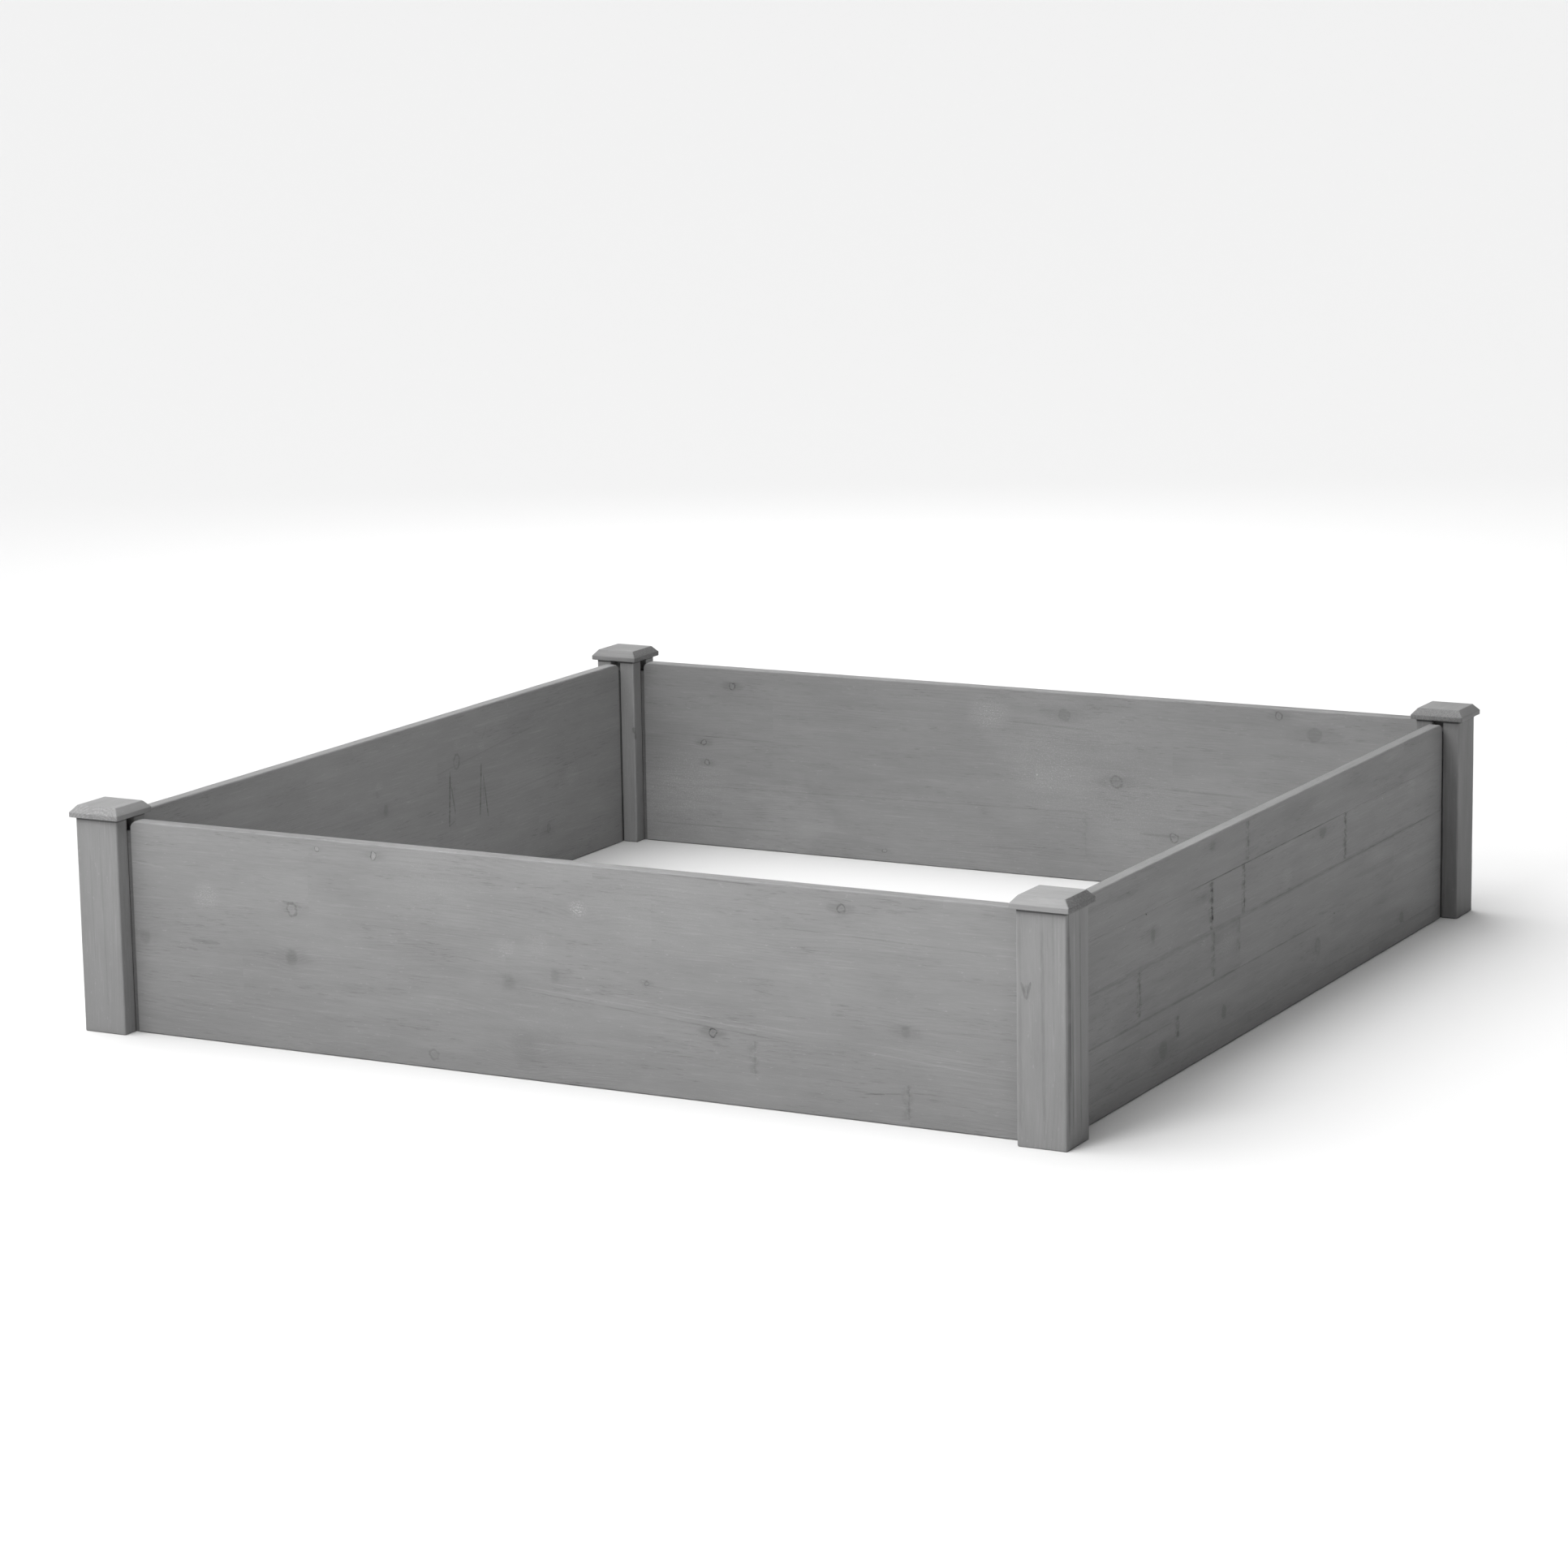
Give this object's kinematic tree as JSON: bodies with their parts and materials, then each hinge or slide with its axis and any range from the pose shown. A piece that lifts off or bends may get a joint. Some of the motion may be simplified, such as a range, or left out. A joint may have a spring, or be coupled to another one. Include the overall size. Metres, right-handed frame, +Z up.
{
  "type": "raised garden bed frame",
  "caption": "Square raised garden bed frame, open at top and bottom: edge-glued boards with dovetailed ends that slide in grooved corner posts with bevelled caps.",
  "frame": {"origin": "centre of the footprint, on the ground", "axes": "+X along the front board to the right, +Y from the front board to the back board, +Z up"},
  "size_m": [1.22, 1.22, 0.2588],
  "materials": {
    "stained_board": "grey semi-transparent stain on edge-glued, finger-jointed knotty softwood, matt",
    "stained_post": "grey semi-transparent stain on solid softwood, upright grain, matt",
    "stained_cap": "grey semi-transparent stain on solid softwood, end grain on two opposite bevels, matt",
    "bare_dowel": "unfinished hardwood dowel"
  },
  "bodies": {
    "boards": {"front_board_stave_1": "stained_board", "front_board_stave_2": "stained_board", "front_board_stave_3": "stained_board", "front_board_stave_4": "stained_board", "front_board_stave_5": "stained_board", "right_board_stave_1": "stained_board", "right_board_stave_2": "stained_board", "right_board_stave_3": "stained_board", "right_board_stave_4": "stained_board", "right_board_stave_5": "stained_board", "back_board_stave_1": "stained_board", "back_board_stave_2": "stained_board", "back_board_stave_3": "stained_board", "back_board_stave_4": "stained_board", "back_board_stave_5": "stained_board", "left_board_stave_1": "stained_board", "left_board_stave_2": "stained_board", "left_board_stave_3": "stained_board", "left_board_stave_4": "stained_board", "left_board_stave_5": "stained_board"},
    "front_left_corner": {"front_left_post": "stained_post", "front_left_post_cap": "stained_cap", "front_left_cap_dowel": "bare_dowel"},
    "front_right_corner": {"front_right_post": "stained_post", "front_right_post_cap": "stained_cap", "front_right_cap_dowel": "bare_dowel"},
    "back_right_corner": {"back_right_post": "stained_post", "back_right_post_cap": "stained_cap", "back_right_cap_dowel": "bare_dowel"},
    "back_left_corner": {"back_left_post": "stained_post", "back_left_post_cap": "stained_cap", "back_left_cap_dowel": "bare_dowel"}
  },
  "joints": [
    {"name": "front_left_post_lift", "type": "slide", "parent": "boards", "child": "front_left_corner", "axis": [0, 0, 1], "range_m": [0, 0.25]},
    {"name": "front_right_post_lift", "type": "slide", "parent": "boards", "child": "front_right_corner", "axis": [0, 0, 1], "range_m": [0, 0.25]},
    {"name": "back_right_post_lift", "type": "slide", "parent": "boards", "child": "back_right_corner", "axis": [0, 0, 1], "range_m": [0, 0.25]},
    {"name": "back_left_post_lift", "type": "slide", "parent": "boards", "child": "back_left_corner", "axis": [0, 0, 1], "range_m": [0, 0.25]}
  ]
}
